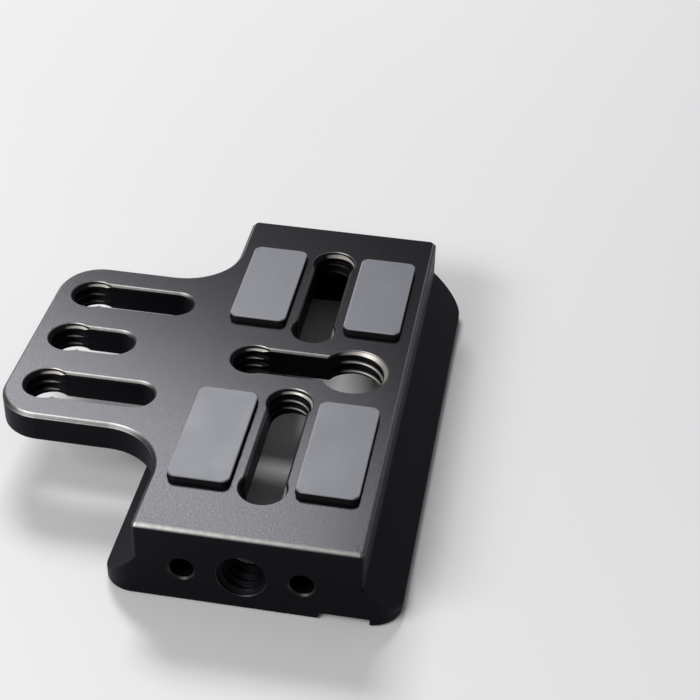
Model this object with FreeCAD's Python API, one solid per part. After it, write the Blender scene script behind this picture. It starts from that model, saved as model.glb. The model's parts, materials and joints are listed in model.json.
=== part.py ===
"""Camera quick release plate: a dovetail rail with a slotted side wing and four rubber grip pads.

Frame: millimetres, +Z up. X runs across the rail with the wing towards -X, Y runs along the rail
with the accessory port on the front face at -Y. The origin is the middle of the foot's underside.
"""
import FreeCAD, Part

import math
import os

# Dovetail rail
RAIL_LENGTH = 70.0
RAIL_TOP_WIDTH = 28.8
FOOT_WIDTH = 38.0
FOOT_EDGE_HEIGHT = 1.4
PLATE_HEIGHT = 12.0
DOVETAIL_ANGLE = 45.0
FOOT_CORNER_RADIUS = 4.0

# Upright corners of the rail, measured on the top face inside its chamfer
FRONT_TOP_RADIUS = 0.1
REAR_TOP_RADIUS = 0.5

# Deck and side wing, flush with the top of the rail
DECK_THICKNESS = 4.1
WING_REACH = 38.5
WING_LENGTH = 35.2
WING_CORNER_RADIUS = 6.0
WING_ROOT_RADIUS = 8.0

# Broken edges
TOP_CHAMFER = 0.5
UNDER_CHAMFER = 0.3

# Pocket for screw heads under the deck
POCKET_WIDTH = 24.8
POCKET_CORNER_RADIUS = 3.0
FRONT_WALL = 5.5
REAR_WALL = 2.2

# Threaded rounds, at the thread's major diameter
QUARTER_INCH = 6.35
THREE_EIGHTHS_INCH = 9.525
THREAD_CHAMFER = 0.1

# Keyhole slots: a screw is turned in through a threaded round and slides along on its thin neck
SLOT_WIDTH = 5.2
SLOT_CHAMFER = 0.33
RAIL_SLOT_NEAR = 8.5
RAIL_SLOT_RUN = 17.0
CROSS_SLOT_LEFT = 6.9
CROSS_SLOT_RIGHT = 7.2
WING_PORT_X = 33.0
WING_PORT_PITCH = 10.65
WING_LONG_RUN = 12.3
WING_SHORT_RUN = 6.5

# Accessory port on the front face
PORT_X = -0.75
PORT_Z = 5.45
PORT_OVERRUN = 0.4
PIN_SPACING = 15.1
PIN_HOLE_DIAMETER = 3.1
PIN_HOLE_DEPTH = 4.0
PIN_CHAMFER = 0.25

# Safety groove under the right foot
GROOVE_X = 12.05
GROOVE_WIDTH = 6.6
GROOVE_DEPTH = 1.2

# Rubber grip pads, glued into shallow recesses in the deck
PAD_WIDTH = 8.1
PAD_LENGTH = 18.3
PAD_CORNER_RADIUS = 1.1
PAD_PROUD = 0.95
PAD_EDGE = 0.2
PAD_X = 8.2
PAD_Y = 17.4
RECESS_DEPTH = 0.4
RECESS_CLEARANCE = 0.1

# Reach of a cutting tool past the face that it enters
TOOL_OVERRUN = 1.0

SLOPE_RISE = (FOOT_WIDTH - RAIL_TOP_WIDTH) / 2 * math.tan(math.radians(DOVETAIL_ANGLE))
SLOPE_TOP = FOOT_EDGE_HEIGHT + SLOPE_RISE
DECK_UNDERSIDE = PLATE_HEIGHT - DECK_THICKNESS
FRONT_CORNER_RADIUS = FRONT_TOP_RADIUS + TOP_CHAMFER
REAR_CORNER_RADIUS = REAR_TOP_RADIUS + TOP_CHAMFER
UP = FreeCAD.Vector(0, 0, 1)
REARWARD = FreeCAD.Vector(0, 1, 0)


def rounded_outline(corners):
    """Closed wire at z = 0 through (x, y, radius) corners, each rounded by an arc of its radius."""
    arcs = []
    for index, (x, y, radius) in enumerate(corners):
        corner = FreeCAD.Vector(x, y, 0)
        before = FreeCAD.Vector(*corners[index - 1][:2], 0) - corner
        after = FreeCAD.Vector(*corners[(index + 1) % len(corners)][:2], 0) - corner
        half_angle = before.getAngle(after) / 2
        inward = (before.normalize() + after.normalize()).normalize()
        trim = radius / math.tan(half_angle)
        middle = corner + inward * (radius / math.sin(half_angle) - radius)
        arcs.append((corner + before * trim, middle, corner + after * trim))
    edges = []
    for index, (start, middle, end) in enumerate(arcs):
        edges.append(Part.Arc(start, middle, end).toShape())
        edges.append(Part.LineSegment(end, arcs[(index + 1) % len(arcs)][0]).toShape())
    return Part.Wire(edges)


def prism(outline, bottom, top):
    """Upright prism on an outline drawn at z = 0."""
    solid = Part.Face(outline).extrude(UP * (top - bottom))
    return solid.translated(UP * bottom)


def rounded_block(width, length, radius, bottom, top, front_radius=None):
    """Upright block centred on the origin, with rounded corners in plan."""
    x = width / 2
    y = length / 2
    front = radius if front_radius is None else front_radius
    corners = [(-x, -y, front), (x, -y, front), (x, y, radius), (-x, y, radius)]
    return prism(rounded_outline(corners), bottom, top)


def edges_at_height(solid, height):
    """Edges of a solid that lie wholly in the horizontal plane at a height."""
    def is_flat(edge):
        box = edge.BoundBox
        return abs(box.ZMin - height) < 1e-6 and abs(box.ZMax - height) < 1e-6
    return [edge for edge in solid.Edges if is_flat(edge)]


def dovetail_foot():
    """Flared foot: the dovetail section drawn in X-Z, run along Y, with rounded corners in plan."""
    neck_x = RAIL_TOP_WIDTH / 2
    foot_x = FOOT_WIDTH / 2
    half_section = [(neck_x, SLOPE_TOP), (foot_x, FOOT_EDGE_HEIGHT), (foot_x, 0)]
    section = half_section + [(-x, z) for x, z in reversed(half_section)]
    points = [FreeCAD.Vector(x, -RAIL_LENGTH / 2, z) for x, z in section + section[:1]]
    bar = Part.Face(Part.makePolygon(points)).extrude(REARWARD * RAIL_LENGTH)
    foot = bar.common(rounded_block(FOOT_WIDTH, RAIL_LENGTH, FOOT_CORNER_RADIUS, 0, PLATE_HEIGHT))
    return foot.makeChamfer(UNDER_CHAMFER, edges_at_height(foot, 0))


def neck():
    """Straight-sided neck of the rail, from the top of the foot's slopes up into the deck."""
    return rounded_block(RAIL_TOP_WIDTH, RAIL_LENGTH, REAR_CORNER_RADIUS,
                         SLOPE_TOP, PLATE_HEIGHT - TOP_CHAMFER, FRONT_CORNER_RADIUS)


def deck():
    """T-shaped deck: the top of the rail and the wing in one thickness, with broken edges."""
    rail_x = RAIL_TOP_WIDTH / 2
    rail_y = RAIL_LENGTH / 2
    wing_y = WING_LENGTH / 2
    outline = rounded_outline([
        (-rail_x, -rail_y, FRONT_CORNER_RADIUS),
        (rail_x, -rail_y, FRONT_CORNER_RADIUS),
        (rail_x, rail_y, REAR_CORNER_RADIUS),
        (-rail_x, rail_y, REAR_CORNER_RADIUS),
        (-rail_x, wing_y, WING_ROOT_RADIUS),
        (-WING_REACH, wing_y, WING_CORNER_RADIUS),
        (-WING_REACH, -wing_y, WING_CORNER_RADIUS),
        (-rail_x, -wing_y, WING_ROOT_RADIUS),
    ])
    solid = prism(outline, DECK_UNDERSIDE, PLATE_HEIGHT)
    return solid.makeChamfer(TOP_CHAMFER, edges_at_height(solid, PLATE_HEIGHT))


def round_cut(x, y, diameter, chamfer):
    """Round cut through the deck at (x, y), with a countersunk rim."""
    radius = diameter / 2
    depth = DECK_THICKNESS + TOOL_OVERRUN
    hole = Part.makeCylinder(radius, depth + TOOL_OVERRUN, FreeCAD.Vector(x, y, PLATE_HEIGHT - depth))
    rim_base = FreeCAD.Vector(x, y, PLATE_HEIGHT - chamfer)
    rim = Part.makeCone(radius, radius + chamfer + TOOL_OVERRUN, chamfer + TOOL_OVERRUN, rim_base)
    return hole.fuse(rim)


def straight_cut(start, end, width, chamfer):
    """Straight slot through the deck between two centres, with chamfered top edges."""
    half = width / 2
    floor = PLATE_HEIGHT - DECK_THICKNESS - TOOL_OVERRUN
    shoulder = PLATE_HEIGHT - chamfer
    mouth = PLATE_HEIGHT + TOOL_OVERRUN
    wide = half + chamfer + TOOL_OVERRUN
    along = FreeCAD.Vector(*end, 0) - FreeCAD.Vector(*start, 0)
    across = UP.cross(along).normalize()
    section = [(half, floor), (half, shoulder), (wide, mouth)]
    section += [(-offset, z) for offset, z in reversed(section)]
    origin = FreeCAD.Vector(*start, 0)
    points = [origin + across * offset + UP * z for offset, z in section + section[:1]]
    return Part.Face(Part.makePolygon(points)).extrude(along)


def slot_cut(start, end, start_round, end_round):
    """Keyhole slot: a straight slot between two rounds, each given as (diameter, chamfer)."""
    rounds = [round_cut(*start, *start_round), round_cut(*end, *end_round)]
    return straight_cut(start, end, SLOT_WIDTH, SLOT_CHAMFER).multiFuse(rounds)


def slot_cuts():
    """The six slots: two along the rail, one across its middle and three along the wing."""
    plain = (SLOT_WIDTH, SLOT_CHAMFER)
    quarter = (QUARTER_INCH, THREAD_CHAMFER)
    three_eighths = (THREE_EIGHTHS_INCH, THREAD_CHAMFER)
    far = RAIL_SLOT_NEAR + RAIL_SLOT_RUN
    cuts = [slot_cut((0, side * RAIL_SLOT_NEAR), (0, side * far), quarter, quarter) for side in (-1, 1)]
    cuts.append(slot_cut((-CROSS_SLOT_LEFT, 0), (CROSS_SLOT_RIGHT, 0), quarter, three_eighths))
    for row, run in ((-1, WING_LONG_RUN), (0, WING_SHORT_RUN), (1, WING_LONG_RUN)):
        y = row * WING_PORT_PITCH
        cuts.append(slot_cut((-WING_PORT_X, y), (-WING_PORT_X + run, y), quarter, plain))
    return cuts


def front_hole(x, diameter, depth, chamfer):
    """Hole drilled from the front face at the port's height, with a broken rim."""
    radius = diameter / 2
    front = FreeCAD.Vector(x, -RAIL_LENGTH / 2, PORT_Z)
    hole = Part.makeCylinder(radius, depth, front, REARWARD)
    rim_start = front - REARWARD * TOOL_OVERRUN
    rim = Part.makeCone(radius + chamfer + TOOL_OVERRUN, radius, chamfer + TOOL_OVERRUN,
                        rim_start, REARWARD)
    return hole.fuse(rim)


def front_port_cuts():
    """Threaded port through the front wall, with a blind locating pin hole on each side."""
    cuts = [front_hole(PORT_X, QUARTER_INCH, FRONT_WALL + PORT_OVERRUN, THREAD_CHAMFER)]
    for side in (-1, 1):
        pin_x = PORT_X + side * PIN_SPACING / 2
        cuts.append(front_hole(pin_x, PIN_HOLE_DIAMETER, PIN_HOLE_DEPTH, PIN_CHAMFER))
    return cuts


def pocket_cut():
    """Open pocket under the deck, between the two feet and the front and rear walls."""
    length = RAIL_LENGTH - FRONT_WALL - REAR_WALL
    pocket = rounded_block(POCKET_WIDTH, length, POCKET_CORNER_RADIUS, -TOOL_OVERRUN, DECK_UNDERSIDE)
    return pocket.translated(REARWARD * (FRONT_WALL - REAR_WALL) / 2)


def groove_cut():
    """Shallow groove along the underside of the right foot."""
    start = FreeCAD.Vector(GROOVE_X - GROOVE_WIDTH / 2, -RAIL_LENGTH / 2 - TOOL_OVERRUN, -TOOL_OVERRUN)
    return Part.makeBox(GROOVE_WIDTH, RAIL_LENGTH + 2 * TOOL_OVERRUN, GROOVE_DEPTH + TOOL_OVERRUN, start)


def pad_places():
    """Name and centre of each grip pad."""
    for end, side_y in (("front", -1), ("rear", 1)):
        for side, side_x in (("left", -1), ("right", 1)):
            yield f"pad_{end}_{side}", FreeCAD.Vector(side_x * PAD_X, side_y * PAD_Y, 0)


def grip_pad():
    """Rubber pad standing on the recess floor, with its top edge rounded off."""
    top = PLATE_HEIGHT + PAD_PROUD
    pad = rounded_block(PAD_WIDTH, PAD_LENGTH, PAD_CORNER_RADIUS, PLATE_HEIGHT - RECESS_DEPTH, top)
    return pad.makeFillet(PAD_EDGE, edges_at_height(pad, top))


def pad_recess():
    """Recess in the deck that a pad is glued into."""
    return rounded_block(PAD_WIDTH + 2 * RECESS_CLEARANCE, PAD_LENGTH + 2 * RECESS_CLEARANCE,
                         PAD_CORNER_RADIUS + RECESS_CLEARANCE,
                         PLATE_HEIGHT - RECESS_DEPTH, PLATE_HEIGHT + TOOL_OVERRUN)


def plate_body():
    """The milled plate: rail, deck and wing in one piece, with every cut taken out."""
    blank = dovetail_foot().multiFuse([neck(), deck()]).removeSplitter()
    recesses = [pad_recess().translated(place) for _, place in pad_places()]
    cuts = [pocket_cut(), groove_cut()] + front_port_cuts() + slot_cuts() + recesses
    return blank.cut(cuts).removeSplitter()


def main():
    nodes = {"plate_body": plate_body()}
    for name, place in pad_places():
        nodes[name] = grip_pad().translated(place)
    os.makedirs("parts", exist_ok=True)
    for name, shape in nodes.items():
        solids = shape.Solids
        print(name, "solids", len(solids), "valid", shape.isValid(), "volume", round(shape.Volume, 1))
        solids[0].exportStep(os.path.join("parts", f"{name}.step"))


main()
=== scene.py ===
import json
import math

import bpy
from mathutils import Matrix, Vector


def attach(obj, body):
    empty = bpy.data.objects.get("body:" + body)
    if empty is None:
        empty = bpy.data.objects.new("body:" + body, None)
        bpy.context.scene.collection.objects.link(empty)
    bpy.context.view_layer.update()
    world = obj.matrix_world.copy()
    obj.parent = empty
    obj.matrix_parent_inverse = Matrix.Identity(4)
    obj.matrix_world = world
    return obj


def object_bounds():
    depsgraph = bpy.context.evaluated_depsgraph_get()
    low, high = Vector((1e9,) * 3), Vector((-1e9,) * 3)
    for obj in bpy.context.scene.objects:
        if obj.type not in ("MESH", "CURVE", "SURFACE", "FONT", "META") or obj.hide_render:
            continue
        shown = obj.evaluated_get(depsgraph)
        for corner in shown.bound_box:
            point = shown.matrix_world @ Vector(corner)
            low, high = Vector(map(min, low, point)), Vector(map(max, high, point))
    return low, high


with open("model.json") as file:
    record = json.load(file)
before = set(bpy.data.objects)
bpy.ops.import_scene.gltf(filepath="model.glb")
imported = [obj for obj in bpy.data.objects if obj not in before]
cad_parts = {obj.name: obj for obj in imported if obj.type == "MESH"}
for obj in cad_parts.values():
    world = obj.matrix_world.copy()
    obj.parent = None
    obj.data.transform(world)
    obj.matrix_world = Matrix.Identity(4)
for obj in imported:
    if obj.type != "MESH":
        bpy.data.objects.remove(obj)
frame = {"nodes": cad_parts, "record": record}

CAD_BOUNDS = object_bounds()
FRONT_Y = CAD_BOUNDS[0][1]
MM = 0.001

# Sizes of the plate that the frame doesn't name, as in the part's source
DECK_TOP = 12.0 * MM
DECK_THICKNESS = 4.1 * MM
SLOT_HALF_WIDTH = 2.6 * MM
SLOT_CHAMFER = 0.33 * MM
RIM_CHAMFER = 0.1 * MM
TOP_CHAMFER = 0.5 * MM
PAD_CENTRE = (8.2 * MM, 17.4 * MM)
PAD_HALF = (4.05 * MM, 9.15 * MM)
RAIL_ROUNDS_Y = (8.5 * MM, 25.5 * MM)
CROSS_ROUND_X = -6.9 * MM
WING_ROUND_X = -33.0 * MM
WING_ROUND_PITCH = 10.65 * MM
FRONT_WALL = 5.5 * MM

# Threads: major and minor radius, pitch, and the shares of the pitch that crest and root take up
QUARTER_INCH = (3.175 * MM, 2.6 * MM, 1.27 * MM)
THREE_EIGHTHS_INCH = (4.7625 * MM, 4.0 * MM, 1.5875 * MM)
CREST_SHARE = 0.22
ROOT_SHARE = 0.14
THREAD_BEHIND_WALL = 0.05 * MM
THREAD_PROUD_OF_WALL = 0.012 * MM
THREAD_ROWS_PER_PITCH = 22
THREAD_COLUMNS_PER_TURN = 144
PORT_CREST_DEPTH = 0.8 * MM

# Wear of the threads, which is also a painted highlight: it lies only on the lit side of each round and
# fades deeper down. The constants give that side, the depths between which the topmost ridge is worn and
# highlit, and the upper edges of the deeper crests. Two mesh attributes carry the wear and painted
# highlight, and the threads.
WORN_AND_LIT_SIDE = Vector((0.64, 0.77, 0.0))
WORN_AND_LIT_SIDE_START = 0.25
WORN_AND_LIT_SIDE_SOFT = 0.40
NARROW_BAND = (0.34 * MM, 0.60 * MM)
WIDE_BAND = (0.34 * MM, 0.72 * MM)
MOUTH_CONE = (0.10 * MM, 0.62 * MM)
BAND_SOFT = 0.05 * MM
BAND_LEAST_HEIGHT = 0.03 * MM
CREST_WEAR_AND_HIGHLIGHT_START = 1.2 * MM
CREST_WEAR_AND_HIGHLIGHT_SOFT = 0.2 * MM
CREST_WEAR_AND_HIGHLIGHT_END = 10.0 * MM
CREST_WEAR_AND_HIGHLIGHT_FADE = 8.0 * MM
CREST_EDGE_HALF = 0.10
CREST_EDGE_SOFT = 0.06
WEAR_AND_HIGHLIGHT = "wear_and_highlight"
THREAD = "thread"

# Broken edges: how far their faces lean, where they lie, and how worn the rims of the front holes are
EDGE_LEAN = (0.60, 0.80)
EDGE_LEAN_SOFT = 0.05
EDGE_DEPTH = 0.55 * MM
EDGE_MARGIN = 0.1 * MM
EDGE_SOFT = 0.02 * MM
FRONT_HOLES_REACH = 11.0 * MM
FRONT_RIM_DEPTH = 0.3 * MM
FRONT_RIM_WEAR = 0.09

# Faces below the deck's edges: where they start, and how dull they are, a painted shade that makes them
# reflect less
SIDES_DEPTH = 0.7 * MM
SIDES_SOFT = 0.15 * MM
SIDES_SHADE_METALLIC = 0.75
FAR_BELOW = -100.0 * MM

# Colours of the aluminium and the rubber, each between two tones where a grain mixes them
ANODISED = ((0.004, 0.004, 0.0055), (0.008, 0.008, 0.011))
FLECK = (0.04, 0.04, 0.04)
WORN_EDGE = (0.40, 0.393, 0.38)
# Pale bare metal of the worn thread ridges, which also gives a painted highlight on their lit side
WORN_AND_HIGHLIT_CREST = (0.58, 0.55, 0.50)
SPECULAR_TINT = (0.92, 0.925, 1.0, 1.0)
RUBBER = ((0.157, 0.163, 0.190), (0.188, 0.196, 0.229))
# Painted highlight along the border of each pad's top
RUBBER_RIM_HIGHLIGHT = (0.29, 0.296, 0.320)
# Painted shade: near-black colour for the pads' faces that don't face up
RUBBER_SIDE_SHADE = (0.012, 0.012, 0.013)
PAD_HIGHLIGHT_RIM = 0.12 * MM
PAD_HIGHLIGHT_RIM_SOFT = 0.15 * MM

# Roughness of the aluminium
SIDES_ROUGHNESS = (0.55, 0.55, 0.55)
EDGE_ROUGHNESS = (0.42, 0.42, 0.42)
THREAD_ROUGHNESS = (0.50, 0.50, 0.50)

# Floor, and the camera solved from the plate's own edges in the photograph
FLOOR_HALF = 3.0
IMAGE_SIDE = 700
FOCAL_PIXELS = 1549.4
SENSOR_WIDTH = 36.0
CAMERA_TARGET = Vector((5.9085, 4.7216, 12.0)) * MM
CAMERA_AZIMUTH = math.radians(8.4668)
CAMERA_ELEVATION = math.radians(36.9882)
CAMERA_ROLL = math.radians(1.8813)
CAMERA_DISTANCE = 216.32 * MM
CAMERA_CLIP_START = 10.0 * MM


# Node helpers

def new_material(name):
    material = bpy.data.materials.new(name)
    material.use_nodes = True
    nodes = material.node_tree.nodes
    nodes.clear()
    output = nodes.new("ShaderNodeOutputMaterial")
    shader = nodes.new("ShaderNodeBsdfPrincipled")
    material.node_tree.links.new(shader.outputs["BSDF"], output.inputs["Surface"])
    return material, shader


def add_node(material, kind, **settings):
    node = material.node_tree.nodes.new(kind)
    for name, value in settings.items():
        setattr(node, name, value)
    return node


def connect(material, source, target):
    material.node_tree.links.new(source, target)


def feed(material, socket, value):
    """Set a socket to a number or a colour, or link it to another socket."""
    if isinstance(value, (int, float)):
        socket.default_value = value
    elif isinstance(value, tuple):
        socket.default_value = (*value, 1)
    else:
        connect(material, value, socket)


def object_place(material):
    return add_node(material, "ShaderNodeTexCoord").outputs["Object"]


def attribute(material, name):
    return add_node(material, "ShaderNodeAttribute", attribute_name=name).outputs["Fac"]


def noise(material, place, scale, detail=2.0, roughness=0.5):
    node = add_node(material, "ShaderNodeTexNoise")
    node.inputs["Scale"].default_value = scale
    node.inputs["Detail"].default_value = detail
    node.inputs["Roughness"].default_value = roughness
    connect(material, place, node.inputs["Vector"])
    return node.outputs["Fac"]


def ramp(material, factor, stops):
    """Colour ramp through (position, grey or colour) stops."""
    node = add_node(material, "ShaderNodeValToRGB")
    elements = node.color_ramp.elements
    while len(elements) < len(stops):
        elements.new(0.5)
    for element, (position, colour) in zip(elements, stops):
        element.position = position
        element.color = (*colour, 1) if isinstance(colour, tuple) else (colour, colour, colour, 1)
    connect(material, factor, node.inputs["Fac"])
    return node.outputs["Color"]


def math_node(material, operation, first, second):
    node = add_node(material, "ShaderNodeMath", operation=operation)
    for socket, value in zip(node.inputs, (first, second)):
        feed(material, socket, value)
    return node.outputs["Value"]


def product(material, *values):
    result = values[0]
    for value in values[1:]:
        result = math_node(material, "MULTIPLY", result, value)
    return result


def highest(material, *values):
    result = values[0]
    for value in values[1:]:
        result = math_node(material, "MAXIMUM", result, value)
    return result


def rest_of(material, share):
    return math_node(material, "SUBTRACT", 1.0, share)


def mix_colours(material, factor, first, second, blend="MIX"):
    node = add_node(material, "ShaderNodeMix", data_type="RGBA", blend_type=blend)
    sockets = (node.inputs[0], node.inputs[6], node.inputs[7])
    for socket, value in zip(sockets, (factor, first, second)):
        feed(material, socket, value)
    return node.outputs[2]


def band(material, value, low, high, soft):
    """1 where a value lies between two limits, with soft shoulders, and 0 elsewhere."""
    rising = add_node(material, "ShaderNodeMapRange", interpolation_type="SMOOTHSTEP")
    falling = add_node(material, "ShaderNodeMapRange", interpolation_type="SMOOTHSTEP")
    for node, start, end in ((rising, low - soft, low), (falling, high + soft, high)):
        connect(material, value, node.inputs["Value"])
        node.inputs["From Min"].default_value = start
        node.inputs["From Max"].default_value = end
    return product(material, rising.outputs["Result"], falling.outputs["Result"])


def split_vector(material, vector):
    node = add_node(material, "ShaderNodeSeparateXYZ")
    connect(material, vector, node.inputs[0])
    return node.outputs


def add_bump(material, shader, height, distance, strength):
    node = add_node(material, "ShaderNodeBump")
    node.inputs["Strength"].default_value = strength
    node.inputs["Distance"].default_value = distance
    connect(material, height, node.inputs["Height"])
    connect(material, node.outputs["Normal"], shader.inputs["Normal"])


# Masks of the aluminium

def top_edge_profile(material, place):
    """Wear across the chamfers round the deck's top, from the deck down. It is highest along the
    chamfers' borders, and softer along the rail's front edge."""
    below_deck = math_node(material, "SUBTRACT", DECK_TOP, place["Z"])
    down_chamfer = math_node(material, "DIVIDE", below_deck, TOP_CHAMFER)
    crisp = ramp(material, down_chamfer, [(0.0, 1.0), (0.16, 1.0), (0.30, 0.40), (0.60, 0.34),
                                          (0.74, 0.22), (0.84, 0.48), (1.0, 0.48)])
    soft = ramp(material, down_chamfer, [(0.0, 0.55), (0.45, 1.0), (0.65, 0.9),
                                         (0.82, 0.4), (1.0, 0.1)])
    rail_front = band(material, place["Y"], FRONT_Y - EDGE_MARGIN, FRONT_Y + EDGE_DEPTH, EDGE_SOFT)
    return mix_colours(material, rail_front, crisp, soft)


def broken_edges(material, threads):
    """Two masks: the narrow chamfers round the deck's top and the holes of the front face, and the share
    of the finish worn off them. Thread ridges are left out of both."""
    geometry = add_node(material, "ShaderNodeNewGeometry")
    facing = split_vector(material, geometry.outputs["True Normal"])
    position = geometry.outputs["Position"]
    place = split_vector(material, position)
    plain = rest_of(material, threads)

    least, most = EDGE_LEAN
    leaning_up = band(material, facing["Z"], least, most, EDGE_LEAN_SOFT)
    near_top = band(material, place["Z"], DECK_TOP - EDGE_DEPTH, DECK_TOP + EDGE_MARGIN, EDGE_SOFT)
    top_edges = product(material, leaning_up, near_top, plain)
    patches = ramp(material, noise(material, position, scale=1500), [(0.35, 0.82), (0.65, 1.0)])
    worn_top = product(material, top_edge_profile(material, place), patches, top_edges)

    leaning_forward = band(material, facing["Y"], -most, -least, EDGE_LEAN_SOFT)
    near_front = band(material, place["Y"], FRONT_Y - EDGE_MARGIN, FRONT_Y + FRONT_RIM_DEPTH, EDGE_SOFT)
    among_holes = band(material, place["X"], -FRONT_HOLES_REACH, FRONT_HOLES_REACH, EDGE_SOFT)
    front_edges = product(material, leaning_forward, near_front, among_holes, plain)
    worn_front = product(material, front_edges, FRONT_RIM_WEAR)

    return highest(material, top_edges, front_edges), highest(material, worn_top, worn_front)


def below_deck_edges(material):
    """1 on every face below the deck's top edges, where the finish is rougher and a painted shade makes it
    reflect less, and 0 on the deck."""
    geometry = add_node(material, "ShaderNodeNewGeometry")
    place = split_vector(material, geometry.outputs["Position"])
    return band(material, place["Z"], FAR_BELOW, DECK_TOP - SIDES_DEPTH, SIDES_SOFT)


# Materials

def anodised_material():
    """Black anodised aluminium with the fine grain of bead blasting, paler broken edges, and threads worn
    to the bare metal on their lit side, which is also a painted highlight. The faces below the deck's
    edges carry painted shade."""
    material, shader = new_material("anodised_aluminium")
    place = object_place(material)
    grain = noise(material, place, scale=5000, detail=1.0)
    flecks = noise(material, place, scale=3600, detail=1.0)
    clouds = noise(material, place, scale=90, detail=4.0)
    threads = attribute(material, THREAD)
    # Wear of the thread ridges, kept to their lit side and fading with depth, so also a painted highlight
    crest_wear_and_highlight = attribute(material, WEAR_AND_HIGHLIGHT)
    edges, worn_edges = broken_edges(material, threads)
    sides = below_deck_edges(material)

    dark, pale = ANODISED
    tone = ramp(material, grain, [(0.3, dark), (0.7, pale)])
    fleck_mask = ramp(material, flecks, [(0.70, 0.0), (0.80, 1.0)])
    fleck_mask = product(material, fleck_mask, rest_of(material, sides))
    tone = mix_colours(material, fleck_mask, tone, FLECK)
    shade = ramp(material, clouds, [(0.3, 0.90), (0.7, 1.0)])
    colour = mix_colours(material, 1.0, tone, shade, blend="MULTIPLY")
    colour = mix_colours(material, worn_edges, colour, WORN_EDGE)
    # Pale metal on the thread ridges: wear and painted highlight
    colour = mix_colours(material, crest_wear_and_highlight, colour, WORN_AND_HIGHLIT_CREST)
    connect(material, colour, shader.inputs["Base Color"])

    pits = ramp(material, grain, [(0.40, 0.0), (0.60, 0.5)])
    # Painted shade: faces below the deck's edges are made more metallic with a near-black colour, so they
    # reflect less
    shaded_sides = product(material, sides, SIDES_SHADE_METALLIC)
    metallic = highest(material, edges, crest_wear_and_highlight, pits, shaded_sides)
    connect(material, metallic, shader.inputs["Metallic"])

    gloss = ramp(material, grain, [(0.25, 0.19), (0.75, 0.25)])
    gloss = mix_colours(material, sides, gloss, SIDES_ROUGHNESS)
    gloss = mix_colours(material, edges, gloss, EDGE_ROUGHNESS)
    gloss = mix_colours(material, threads, gloss, THREAD_ROUGHNESS)
    connect(material, gloss, shader.inputs["Roughness"])
    shader.inputs["Specular IOR Level"].default_value = 0.21
    shader.inputs["Specular Tint"].default_value = SPECULAR_TINT
    add_bump(material, shader, grain, distance=0.03 * MM, strength=0.2)
    return material


def pad_rim_highlight(material, position):
    """1 along the border of each pad's top face, where a painted highlight makes it paler than its middle.
    """
    place = split_vector(material, position)
    strips = []
    for axis, centre, half in zip("XY", PAD_CENTRE, PAD_HALF):
        side = math_node(material, "ABSOLUTE", place[axis], 0.0)
        offset = math_node(material, "SUBTRACT", side, centre)
        from_centre = math_node(material, "ABSOLUTE", offset, 0.0)
        strips.append(band(material, from_centre, half - PAD_HIGHLIGHT_RIM, half, PAD_HIGHLIGHT_RIM_SOFT))
    return highest(material, *strips)


def rubber_material():
    """Matte blue-grey rubber with a fine ground surface, a painted highlight along the top's rim and
    painted shade on the faces that don't face up.
    """
    material, shader = new_material("grip_rubber")
    place = object_place(material)
    geometry = add_node(material, "ShaderNodeNewGeometry")
    grain = noise(material, place, scale=7000, detail=3.0, roughness=0.6)
    clouds = noise(material, place, scale=160, detail=5.0)
    along = add_node(material, "ShaderNodeMapping")
    along.inputs["Scale"].default_value = (1.0, 0.06, 1.0)
    connect(material, place, along.inputs["Vector"])
    streaks = noise(material, along.outputs["Vector"], scale=1400, detail=2.0)

    dark, pale = RUBBER
    tone = ramp(material, grain, [(0.3, dark), (0.7, pale)])
    shade = ramp(material, clouds, [(0.3, 0.88), (0.7, 1.0)])
    ground = ramp(material, streaks, [(0.3, 0.94), (0.7, 1.0)])
    top = mix_colours(material, 1.0, tone, shade, blend="MULTIPLY")
    top = mix_colours(material, 1.0, top, ground, blend="MULTIPLY")
    # Painted highlight along the border of the pad's top
    top = mix_colours(material, pad_rim_highlight(material, geometry.outputs["Position"]), top, RUBBER_RIM_HIGHLIGHT)
    # Faces that don't face up get the near-black painted shade
    facing = split_vector(material, geometry.outputs["Normal"])
    upward = ramp(material, facing["Z"], [(0.30, 0.0), (0.45, 1.0)])
    colour = mix_colours(material, upward, RUBBER_SIDE_SHADE, top)
    connect(material, colour, shader.inputs["Base Color"])

    gloss = ramp(material, clouds, [(0.3, 0.34), (0.7, 0.42)])
    connect(material, gloss, shader.inputs["Roughness"])
    shader.inputs["Specular IOR Level"].default_value = 0.32
    add_bump(material, shader, grain, distance=0.02 * MM, strength=0.4)
    return material


def floor_material():
    """Pale matte studio floor."""
    material, shader = new_material("studio_floor")
    mottle = noise(material, object_place(material), scale=6, detail=3.0)
    tone = ramp(material, mottle, [(0.3, 0.89), (0.7, 0.92)])
    connect(material, tone, shader.inputs["Base Color"])
    shader.inputs["Roughness"].default_value = 0.9
    return material


# Threads

def clamp(value):
    return min(1.0, max(0.0, value))


def ridge_height(share, thread):
    """Height of the thread's ridge at a share of the pitch, 0.5 being the middle of the ridge."""
    major, minor, _ = thread
    from_middle = abs(share - 0.5) * 2
    slope = (1 - ROOT_SHARE - from_middle) / (1 - ROOT_SHARE - CREST_SHARE)
    return (major - minor) * clamp(slope)


def ridge_radius(share, depth, thread):
    """Radius of the ridged wall, trimmed by the countersunk mouth."""
    major = thread[0]
    wall = major - THREAD_PROUD_OF_WALL
    cone = major + RIM_CHAMFER - depth
    return max(min(wall, major - ridge_height(share, thread)), min(wall, cone))


def slot_radius(angle, depth, thread):
    """Radius at which the slot's own walls, with their chamfer, trim the ridges next to local +X."""
    if math.cos(angle) <= 0:
        return 0.0
    wall = thread[0] - THREAD_PROUD_OF_WALL
    corridor = SLOT_HALF_WIDTH + max(0.0, SLOT_CHAMFER - depth)
    return min(wall, corridor / max(abs(math.sin(angle)), 1e-6))


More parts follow.
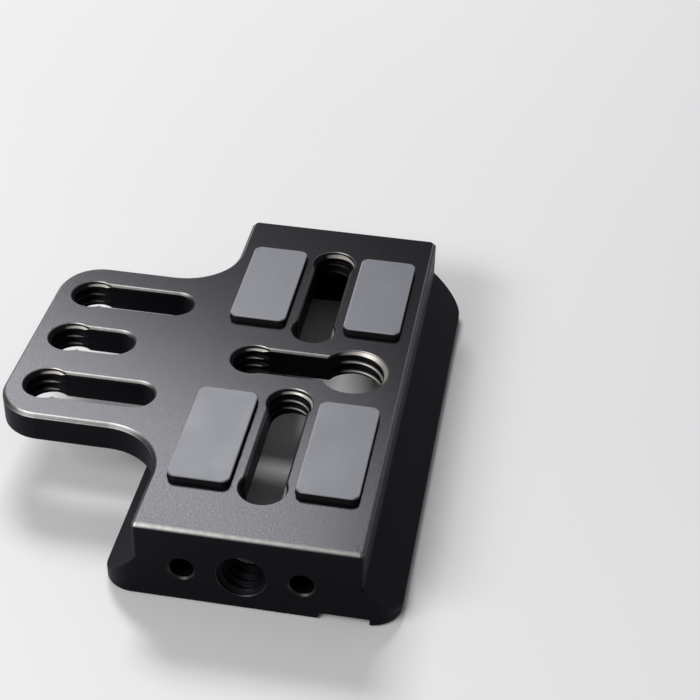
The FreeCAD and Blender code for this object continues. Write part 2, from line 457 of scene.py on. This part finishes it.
def wear_and_highlight_at(share, depth, height, mouth_band, crest_share):
    """Wear of the finish, which also stands in for a painted highlight, at a share of the pitch, a depth
    and a height
    above the wall: full on the ridge in a band below the mouth, and a given share of that on the upper
    edge of each deeper crest, fading out further down where shade falls."""
    top, bottom = mouth_band
    in_band = clamp((depth - top) / BAND_SOFT) * clamp((bottom - depth) / BAND_SOFT)
    mouth = in_band * clamp((height - BAND_LEAST_HEIGHT) / BAND_SOFT)
    deep = clamp((depth - CREST_WEAR_AND_HIGHLIGHT_START) / CREST_WEAR_AND_HIGHLIGHT_SOFT)
    deep *= clamp((CREST_WEAR_AND_HIGHLIGHT_END - depth) / CREST_WEAR_AND_HIGHLIGHT_FADE)
    from_edge = abs(share - 0.5 - CREST_SHARE / 2)
    on_edge = clamp((CREST_EDGE_HALF - from_edge) / CREST_EDGE_SOFT)
    return max(mouth, crest_share * deep * on_edge)


def wall_point(angle, depth, thread, start_share, slotted, wear_and_highlight_facts):
    """Radius of a thread's surface at an angle and a depth, and the wear of its finish there, which also
    stands in for a painted highlight on the round's lit side.
    """
    major, _, pitch = thread
    share = (-depth / pitch - angle / (2 * math.pi) + start_share) % 1.0
    ridge = ridge_radius(share, depth, thread)
    if slotted:
        slot_wall = slot_radius(angle, depth, thread)
        if slot_wall > ridge:
            return slot_wall, 0.0
    if not wear_and_highlight_facts:
        return ridge, 0.0
    worn_and_lit_side, mouth_band, crest_share = wear_and_highlight_facts
    # The wear and painted highlight is kept to the lit side of the round
    side = worn_and_lit_side.x * math.cos(angle) + worn_and_lit_side.y * math.sin(angle)
    worn_and_lit = wear_and_highlight_at(share, depth, major - ridge, mouth_band, crest_share)
    return ridge, worn_and_lit * clamp((side - WORN_AND_LIT_SIDE_START) / WORN_AND_LIT_SIDE_SOFT)


def shell_faces(columns, ring, closed):
    """Faces of a shell whose columns of ring points follow one another, joined up or with two end caps."""
    span = columns if closed else columns + 1
    faces = []
    for column in range(columns):
        here = column * ring
        there = (column + 1) % span * ring
        for step in range(ring):
            after = (step + 1) % ring
            faces.append((here + step, here + after, there + after, there + step))
    if not closed:
        faces.append(tuple(reversed(range(ring))))
        faces.append(tuple(range(columns * ring, (columns + 1) * ring)))
    return faces


def thread_mesh(name, thread, length, start_share, slotted, wear_and_highlight_facts):
    """Closed shell with helical ridges around local +Z, its mouth at z = 0, cut away where local +X
    opens into a slot. One attribute marks the threads, another where the black finish is worn off and a
    painted highlight is put, on the lit side."""
    major, _, pitch = thread
    opening = math.asin(SLOT_HALF_WIDTH / major) if slotted else 0.0
    columns = round(THREAD_COLUMNS_PER_TURN * (1 - opening / math.pi))
    rows = round(THREAD_ROWS_PER_PITCH * length / pitch)
    ring = rows + 3
    verts = []
    wear_and_highlight = []
    for column in range(columns + 1 if slotted else columns):
        angle = opening + (2 * math.pi - 2 * opening) * column / columns
        ray = Vector((math.cos(angle), math.sin(angle), 0))
        for row in range(rows + 1):
            depth = RIM_CHAMFER + (length - RIM_CHAMFER) * row / rows
            radius, worn_and_lit = wall_point(angle, depth, thread, start_share, slotted, wear_and_highlight_facts)
            verts.append(ray * radius - Vector((0, 0, depth)))
            wear_and_highlight.append(worn_and_lit)
        for depth in (length, RIM_CHAMFER):
            verts.append(ray * (major + THREAD_BEHIND_WALL) - Vector((0, 0, depth)))
            wear_and_highlight.append(0.0)
    mesh = bpy.data.meshes.new(name)
    mesh.from_pydata(verts, [], shell_faces(columns, ring, closed=not slotted))
    for label, values in ((WEAR_AND_HIGHLIGHT, wear_and_highlight), (THREAD, [1.0] * len(verts))):
        mesh.attributes.new(label, "FLOAT", "POINT").data.foreach_set("value", values)
    mesh.validate()
    mesh.update()
    mesh.shade_smooth()
    return mesh


def thread_piece(name, thread, mouth, length, material, crest_depth, axis=Vector((0, 0, 1)),
                 crest_side=Vector((0, 1, 0)), towards_slot=None, mouth_band=None, wear_and_highlight=0.0):
    """Thread ridges of one round, with its mouth at a point and its axis pointing out of it. One ridge
    crosses the wall on the crest side at the crest depth."""
    across = towards_slot or Vector((1, 0, 0))
    turn = Matrix((across, axis.cross(across), axis)).transposed()
    side = turn.inverted() @ crest_side
    start_share = 0.5 + math.atan2(side.y, side.x) / (2 * math.pi) + crest_depth / thread[2]
    wear_and_highlight_facts = (turn.inverted() @ WORN_AND_LIT_SIDE, mouth_band, wear_and_highlight) if mouth_band else None
    mesh = thread_mesh(name, thread, length, start_share, towards_slot is not None, wear_and_highlight_facts)
    mesh.materials.append(material)
    piece = bpy.data.objects.new(name, mesh)
    piece.matrix_world = Matrix.Translation(mouth) @ turn.to_4x4()
    bpy.context.scene.collection.objects.link(piece)
    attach(piece, "root")


def mount_place(name):
    mount = next(m for m in frame["record"]["mounts"] if m["name"] == name)
    return Vector(mount["pos_m"])


def add_threads(material):
    """Threads of the deck's rounds, each with its place, the way to its slot, the depth of a crest on its
    rear side, the band of wear and painted highlight below its mouth and the share of that on its deeper
    crests; then the front port."""
    rear = Vector((0, 1, 0))
    right = Vector((1, 0, 0))
    near, far = RAIL_ROUNDS_Y
    large_x = mount_place("three_eighths_port").x
    small, large = QUARTER_INCH, THREE_EIGHTHS_INCH
    deck_rounds = [
        ("thread_rail_front_outer", small, 0, -far, rear, 1.7 * MM, NARROW_BAND, 0.5),
        ("thread_rail_front_inner", small, 0, -near, -rear, 1.92 * MM, NARROW_BAND, 0.7),
        ("thread_rail_rear_inner", small, 0, near, rear, 1.7 * MM, NARROW_BAND, 0.5),
        ("thread_rail_rear_outer", small, 0, far, -rear, 2.1 * MM, WIDE_BAND, 0.05),
        ("thread_cross_left", small, CROSS_ROUND_X, 0, right, 2.02 * MM, NARROW_BAND, 0.6),
        ("thread_cross_right", large, large_x, 0, -right, 1.75 * MM, MOUTH_CONE, 1.0),
    ]
    for row, label, wear_and_highlight in ((-1, "front", 0.5), (0, "middle", 0.35), (1, "rear", 0.2)):
        deck_rounds.append((f"thread_wing_{label}", small, WING_ROUND_X, row * WING_ROUND_PITCH,
                            right, 2.08 * MM, NARROW_BAND, wear_and_highlight))
    for name, thread, x, y, towards_slot, crest_depth, mouth_band, wear_and_highlight in deck_rounds:
        thread_piece(name, thread, Vector((x, y, DECK_TOP)), DECK_THICKNESS, material, crest_depth,
                     towards_slot=towards_slot, mouth_band=mouth_band, wear_and_highlight=wear_and_highlight)
    port = mount_place("front_port")
    thread_piece("thread_front_port", small, Vector((port.x, FRONT_Y, port.z)), FRONT_WALL, material,
                 PORT_CREST_DEPTH, axis=-rear, crest_side=Vector((0, 0, -1)))


# Stage

def add_floor():
    half = FLOOR_HALF
    mesh = bpy.data.meshes.new("floor")
    corners = [(-half, -half, 0), (half, -half, 0), (half, half, 0), (-half, half, 0)]
    mesh.from_pydata(corners, [], [(0, 1, 2, 3)])
    mesh.materials.append(floor_material())
    floor = bpy.data.objects.new("floor", mesh)
    bpy.context.scene.collection.objects.link(floor)


def add_world(colour, strength):
    world = bpy.data.worlds.new("studio")
    world.use_nodes = True
    background = world.node_tree.nodes["Background"]
    background.inputs["Color"].default_value = (*colour, 1)
    background.inputs["Strength"].default_value = strength
    bpy.context.scene.world = world


def add_softbox(name, towards, distance, width, height, watts, twist=0.0):
    """Softbox that stands in a direction from the middle of the deck and faces it."""
    back = towards.normalized()
    level = Vector((0, 0, 1)).cross(back).normalized()
    upright = back.cross(level)
    across = level * math.cos(twist) + upright * math.sin(twist)
    light = bpy.data.lights.new(name, "AREA")
    light.shape = "RECTANGLE"
    light.size = width
    light.size_y = height
    light.energy = watts
    lamp = bpy.data.objects.new(name, light)
    turn = Matrix((across, back.cross(across), back)).transposed()
    place = Vector((0, 0, DECK_TOP)) + back * distance
    lamp.matrix_world = Matrix.Translation(place) @ turn.to_4x4()
    bpy.context.scene.collection.objects.link(lamp)


def add_lights():
    add_softbox("rear_strip", towards=Vector((-0.286, 0.667, 0.688)), distance=0.87,
                width=0.194, height=0.370, watts=4.3, twist=math.radians(58))
    add_softbox("front_left_softbox", towards=Vector((-0.534, -0.593, 0.602)), distance=0.5,
                width=0.32, height=0.14, watts=1.4)


def add_camera():
    azimuth, elevation, roll = CAMERA_AZIMUTH, CAMERA_ELEVATION, CAMERA_ROLL
    back = Vector((math.sin(azimuth) * math.cos(elevation),
                   -math.cos(azimuth) * math.cos(elevation), math.sin(elevation)))
    level = Vector((math.cos(azimuth), math.sin(azimuth), 0))
    upright = back.cross(level)
    right = level * math.cos(roll) + upright * math.sin(roll)
    up = upright * math.cos(roll) - level * math.sin(roll)
    data = bpy.data.cameras.new("camera")
    data.sensor_width = SENSOR_WIDTH
    data.lens = SENSOR_WIDTH * FOCAL_PIXELS / IMAGE_SIDE
    data.clip_start = CAMERA_CLIP_START
    camera = bpy.data.objects.new("camera", data)
    turn = Matrix((right, up, back)).transposed()
    camera.matrix_world = Matrix.Translation(CAMERA_TARGET + back * CAMERA_DISTANCE) @ turn.to_4x4()
    bpy.context.scene.collection.objects.link(camera)
    bpy.context.scene.camera = camera


def dress(names, material):
    """Give CAD nodes a material."""
    for name in names:
        mesh = frame["nodes"][name].data
        mesh.materials.clear()
        mesh.materials.append(material)


def main():
    metal = anodised_material()
    dress(["plate_body"], metal)
    dress([name for name in frame["nodes"] if name.startswith("pad_")], rubber_material())
    add_threads(metal)
    add_floor()
    add_world(colour=(0.95, 0.965, 1.0), strength=0.2)
    add_lights()
    add_camera()
    bpy.context.scene.view_settings.view_transform = "Standard"


main()
